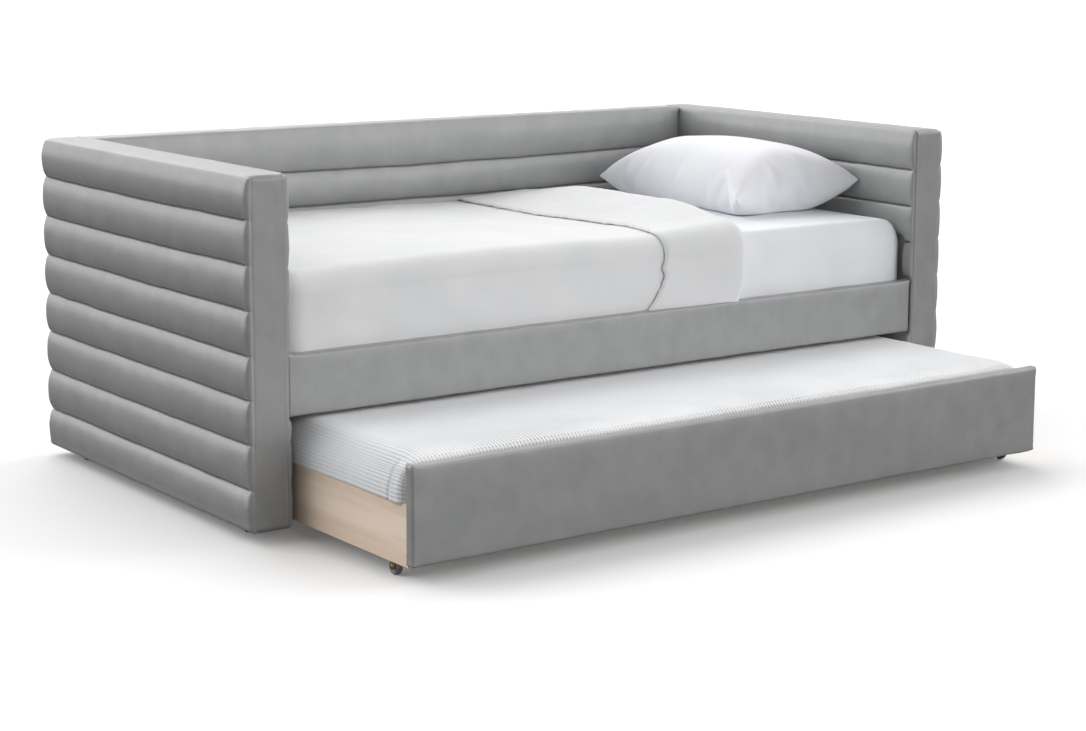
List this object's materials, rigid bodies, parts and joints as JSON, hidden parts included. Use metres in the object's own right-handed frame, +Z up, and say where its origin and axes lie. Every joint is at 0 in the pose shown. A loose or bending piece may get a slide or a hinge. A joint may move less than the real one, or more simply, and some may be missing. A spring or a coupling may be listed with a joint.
{
  "type": "daybed with trundle",
  "caption": "A three-sided daybed upholstered in grey channelled velour, made up with a quilted coverlet and a pillow, with a trundle bed on casters that pulls out from under it.",
  "frame": {"origin": "on the floor, at the middle of the footprint with the trundle pulled half way out", "axes": "X along the bed's length (head end with the pillow at +X), the front the trundle comes out of faces -Y, Z up"},
  "size_m": [2.148, 1.559, 0.826],
  "materials": {
    "velour": "satin",
    "plywood": "matte",
    "pine": "matte",
    "oak": "satin",
    "white_cotton": "matte",
    "quilted_cotton": "matte",
    "waffle_cotton": "matte",
    "ticking": "matte",
    "zinc_steel": "satin",
    "brass_plate": "satin",
    "caster_rubber": "matte",
    "black_plastic": "matte"
  },
  "bodies": {
    "bed_frame": {"arm_left_board": "plywood", "arm_left_inner_pad": "velour", "arm_left_outer_pad": "velour", "arm_left_strip": "velour", "arm_right_board": "plywood", "arm_right_inner_pad": "velour", "arm_right_outer_pad": "velour", "arm_right_strip": "velour", "back_board": "plywood", "back_inner_pad": "velour", "back_outer_cover": "velour", "bolt_front_left": "zinc_steel", "bolt_front_right": "zinc_steel", "bolt_rear_left": "zinc_steel", "bolt_rear_right": "zinc_steel", "bracket_front_left": "zinc_steel", "bracket_front_right": "zinc_steel", "bracket_rear_left": "zinc_steel", "bracket_rear_right": "zinc_steel", "coverlet": "quilted_cotton", "fitted_sheet": "white_cotton", "front_rail_board": "pine", "front_rail_cover": "velour", "glide_back_left": "black_plastic", "glide_back_right": "black_plastic", "glide_front_left": "black_plastic", "glide_front_right": "black_plastic", "glide_rear_left": "black_plastic", "glide_rear_right": "black_plastic", "mattress": "ticking", "pillow": "white_cotton", "slat_cleat_front": "pine", "slat_cleat_rear": "pine", "slat_deck": "pine"},
    "trundle": {"caster_block_front_left": "pine", "caster_block_front_right": "pine", "caster_block_rear_left": "pine", "caster_block_rear_right": "pine", "caster_fork_front_left": "brass_plate", "caster_fork_front_right": "brass_plate", "caster_fork_rear_left": "brass_plate", "caster_fork_rear_right": "brass_plate", "trundle_back_board": "oak", "trundle_blanket": "waffle_cotton", "trundle_cleat_front": "pine", "trundle_cleat_rear": "pine", "trundle_front_board": "pine", "trundle_front_cover": "velour", "trundle_mattress": "ticking", "trundle_side_left": "oak", "trundle_side_right": "oak", "trundle_slat_deck": "pine"},
    "wheel_front_left": {"caster_wheel_front_left": "caster_rubber"},
    "wheel_front_right": {"caster_wheel_front_right": "caster_rubber"},
    "wheel_rear_left": {"caster_wheel_rear_left": "caster_rubber"},
    "wheel_rear_right": {"caster_wheel_rear_right": "caster_rubber"}
  },
  "joints": [
    {"name": "trundle_slide", "type": "slide", "parent": "bed_frame", "child": "trundle", "axis": [0, -1, 0], "range_m": [-0.48, 0.62]},
    {"name": "roll_front_left", "type": "hinge", "parent": "trundle", "child": "wheel_front_left", "pos_m": [-0.927, -0.6805, 0.019], "axis": [1, 0, 0], "continuous": true},
    {"name": "roll_front_right", "type": "hinge", "parent": "trundle", "child": "wheel_front_right", "pos_m": [0.927, -0.6805, 0.019], "axis": [1, 0, 0], "continuous": true},
    {"name": "roll_rear_left", "type": "hinge", "parent": "trundle", "child": "wheel_rear_left", "pos_m": [-0.927, 0.0765, 0.019], "axis": [1, 0, 0], "continuous": true},
    {"name": "roll_rear_right", "type": "hinge", "parent": "trundle", "child": "wheel_rear_right", "pos_m": [0.927, 0.0765, 0.019], "axis": [1, 0, 0], "continuous": true}
  ],
  "couplings": [
    {"joint": "roll_front_left", "follows": "trundle_slide", "rad_per_m": 52.632},
    {"joint": "roll_front_right", "follows": "trundle_slide", "rad_per_m": 52.632},
    {"joint": "roll_rear_left", "follows": "trundle_slide", "rad_per_m": 52.632},
    {"joint": "roll_rear_right", "follows": "trundle_slide", "rad_per_m": 52.632}
  ]
}
